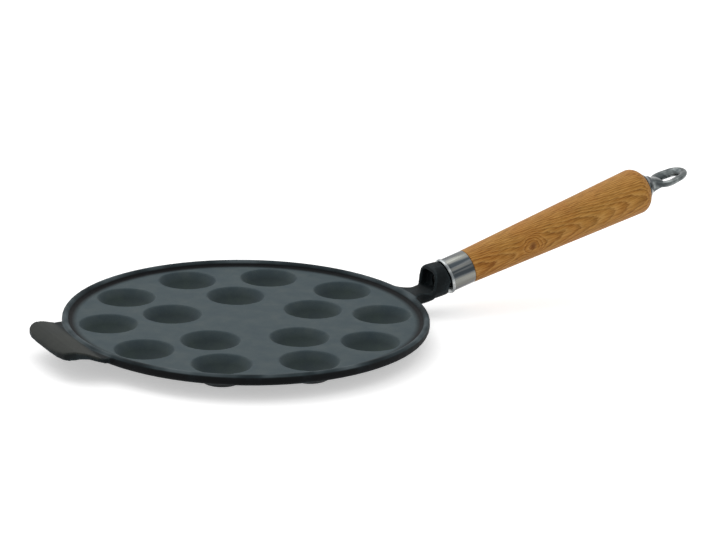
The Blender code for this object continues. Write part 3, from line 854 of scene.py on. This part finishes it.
def chrome():
    """Zinc die casting, barrel finished to a shine and chrome plated: grey, with soft waves whose light and
    dark patches are partly a painted reflection.

    The ring's inner edge and the corner round the neck's foot are darker: painted shade.
    """
    material, tree, shader = new_material("chromed_zinc")
    place = along_handle(tree)
    waves = add(tree, "TexNoise", {
        "noise_dimensions": "4D", "W": WAVE_PLACE, "Scale": 1 / WAVE_LENGTH, "Detail": 2, "Roughness": 0.5,
    }, {"Vector": place}).outputs["Fac"]
    # Painted reflection: light and dark patches over the waves
    reflection_patches = add(tree, "ValToRGB", links={0: waves}, stops=(
        (0.38, "#454a4b"), (0.5, "#636868"), (0.62, "#8a8f8e"),
    ))
    wear_and_shade_grain = add(tree, "TexNoise", {
        "Scale": 1 / WEAR_GRAIN, "Detail": 3, "Roughness": 0.6,
    }, {"Vector": place}).outputs["Fac"]
    # Painted shade: dark spots round the ring's hole
    from_middle = add(tree, "Mapping", {
        "vector_type": "TEXTURE", "Location": HOLE_MIDDLE, "Scale": HOLE_REACH,
    }, {"Vector": place})
    around = add(tree, "VectorMath", {"operation": "LENGTH"}, {0: from_middle.outputs[0]})
    in_hole = add(tree, "MapRange", {1: 1.25, 2: 0.95}, {0: around.outputs["Value"]})
    spots = add(tree, "MapRange", {1: 0.45, 2: 0.56}, {0: wear_and_shade_grain})
    hole_shade = add(tree, "Math", {"operation": "MULTIPLY"}, {0: in_hole.outputs[0], 1: spots.outputs[0]})
    with_edge_shade = add(tree, "Mix", {"data_type": "RGBA", 7: linear("#272b2e")}, {
        0: hole_shade.outputs[0], 6: reflection_patches.outputs[0],
    })
    # Painted shade in the corner round the neck's foot
    along = add(tree, "SeparateXYZ", links={0: place}).outputs["Z"]
    from_foot = add(tree, "Math", {"operation": "SUBTRACT", 1: FLANGE_BASE + FLANGE_HEIGHT}, {0: along})
    near_foot = add(tree, "Math", {"operation": "ABSOLUTE"}, {0: from_foot.outputs[0]})
    foot_shade = add(tree, "MapRange", {1: FOOT_DARK, 2: FOOT_CLEAR, 3: 0.5, 4: 0}, {0: near_foot.outputs[0]})
    whole = add(tree, "Mix", {"data_type": "RGBA", 7: linear("#3d3a44")}, {
        0: foot_shade.outputs[0], 6: with_edge_shade.outputs[2],
    })
    rough = add(tree, "MapRange", {3: 0.12, 4: 0.28}, {0: wear_and_shade_grain})
    bump = add(tree, "Bump", {"Strength": 0.15, "Distance": WAVE_DEPTH}, {"Height": waves})
    shader.inputs["Metallic"].default_value = 1
    dress(tree, shader, {
        "Base Color": whole.outputs[2], "Roughness": rough.outputs[0], "Normal": bump.outputs[0],
    })
    return material


def zinc():
    """Rolled steel, zinc plated: a dull blue-grey with fine spangle, and black where it runs inside the neck.
    """
    material, tree, shader = new_material("zinc_plated_steel")
    place = along_handle(tree)
    spangle = add(tree, "TexNoise", {"Scale": 1 / SPANGLE, "Detail": 3}, {"Vector": place}).outputs["Fac"]
    plated = add(tree, "ValToRGB", links={0: spangle}, stops=((0.35, "#7d8487"), (0.65, "#9ba2a4")))
    along = add(tree, "SeparateXYZ", links={0: place}).outputs["Z"]
    # Black where the rod runs inside the neck
    in_neck = add(tree, "MapRange", {1: NECK_BLACK_END, 2: NECK_BLACK_FULL}, {0: along})
    whole = add(tree, "Mix", {"data_type": "RGBA", 7: linear("#0b0c0d")}, {
        0: in_neck.outputs[0], 6: plated.outputs[0],
    })
    rough = add(tree, "MapRange", {3: 0.3, 4: 0.48}, {0: spangle})
    shader.inputs["Metallic"].default_value = 1
    dress(tree, shader, {"Base Color": whole.outputs[2], "Roughness": rough.outputs[0]})
    return material


def keep_inside(mesh):
    """Holds a mesh's points to the solids' box, which a finer curve passes by hundredths of a millimetre."""
    low, high = solid_box
    for vert in mesh.vertices:
        vert.co = [min(max(value, least), most) for value, least, most in zip(vert.co, low, high)]


def finish_piece(obj, material, body, node, in_handle=True):
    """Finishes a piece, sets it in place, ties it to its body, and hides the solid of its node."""
    obj.data.materials.clear()
    obj.data.materials.append(material)
    if in_handle:
        obj.data.transform(handle_matrix())
    keep_inside(obj.data)
    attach(obj, body)
    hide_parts(node)


# Stage

def meets_white(tree):
    """One for the rays that find the stage white: the camera's, and those that metal and glass send on."""
    path = add(tree, "LightPath").outputs
    seen = add(tree, "Math", {"operation": "MAXIMUM"}, {
        0: path["Is Camera Ray"], 1: path["Is Glossy Ray"],
    })
    return add(tree, "Math", {"operation": "MAXIMUM"}, {
        0: seen.outputs[0], 1: path["Is Transmission Ray"],
    }).outputs[0]


def make_floor():
    """White paper, which glows a little for the rays that should find it white, and keeps the shadow."""
    mesh = bpy.data.meshes.new("floor")
    corners = [(x * FLOOR_HALF, y * FLOOR_HALF, 0) for x, y in ((-1, -1), (1, -1), (1, 1), (-1, 1))]
    mesh.from_pydata(corners, [], [(0, 1, 2, 3)])
    floor = add_object("floor", mesh)
    floor.location.z = FOOT_HEIGHT - FLOOR_GAP
    material, tree, shader = new_material("white_paper")
    shader.inputs["Roughness"].default_value = 0.9
    shader.inputs["Base Color"].default_value = linear("#f4f4f4")
    glow = add(tree, "Emission", {"Color": (1, 1, 1, 1), "Strength": FLOOR_GLOW})
    both = add(tree, "AddShader", links={0: shader.outputs[0], 1: glow.outputs[0]})
    choose = add(tree, "MixShader", links={0: meets_white(tree), 1: shader.outputs[0], 2: both.outputs[0]})
    tree.links.new(choose.outputs[0], tree.nodes["Material Output"].inputs["Surface"])
    mesh.materials.append(material)


def make_world():
    """A white room, dimmer as a light than it is to the rays that find it white."""
    world = bpy.data.worlds.new("studio")
    bpy.context.scene.world = world
    world.use_nodes = True
    tree = world.node_tree
    background = tree.nodes["Background"]
    background.inputs["Color"].default_value = (1, 1, 1, 1)
    strength = add(tree, "MapRange", {3: WORLD_STRENGTH, 4: 1}, {0: meets_white(tree)})
    tree.links.new(strength.outputs[0], background.inputs["Strength"])


def soft_box(name, place, aim, size, watts):
    """A square lamp that faces a point."""
    light = bpy.data.lights.new(name, "AREA")
    light.shape = "RECTANGLE"
    light.size = size
    light.size_y = size
    light.energy = watts
    obj = add_object(name, light)
    obj.location = place
    obj.rotation_euler = (Vector(aim) - Vector(place)).to_track_quat("-Z", "Y").to_euler()


def make_camera():
    """The photograph's own camera, turned about the plate's centre."""
    right = Vector((1, 0, 0))
    ahead = Vector((0, cos(CAMERA_DOWN), -sin(CAMERA_DOWN)))
    up = Vector((0, sin(CAMERA_DOWN), cos(CAMERA_DOWN)))
    look = Matrix.Rotation(CAMERA_ROLL, 3, "Z") @ Matrix((right, up, -ahead))
    place = -(look.transposed() @ Vector((CAMERA_SIDE, CAMERA_RISE, -CAMERA_DISTANCE)))
    turn = Matrix.Rotation(-CAMERA_TURN, 3, "Z")
    camera = bpy.data.cameras.new("camera")
    camera.sensor_width = SENSOR_WIDTH
    camera.lens = LENS_PIXELS / PHOTO_WIDTH * SENSOR_WIDTH
    camera.clip_end = CAMERA_SIGHT
    obj = add_object("camera", camera)
    obj.matrix_world = Matrix.Translation(turn @ place) @ (turn @ look.transposed()).to_4x4()
    bpy.context.scene.camera = obj


def main():
    finish_piece(make_casting(), cast_iron(), "pan", "pan_casting", in_handle=False)
    finish_piece(make_collar(), drawn_steel(), "grip", "ferrule")
    finish_piece(make_grip(), oak(), "grip", "handle_grip")
    finish_piece(make_rod(), zinc(), "tie", "tie_rod")
    finish_piece(make_eye(), chrome(), "tie", "hanging_eye")
    make_floor()
    make_world()
    soft_box("key", KEY_PLACE, KEY_AIM, KEY_SIZE, KEY_WATTS)
    soft_box("fill", FILL_PLACE, FILL_AIM, FILL_SIZE, FILL_WATTS)
    make_camera()
    bpy.context.scene.view_settings.view_transform = "Standard"
    bpy.context.view_layer.update()


main()
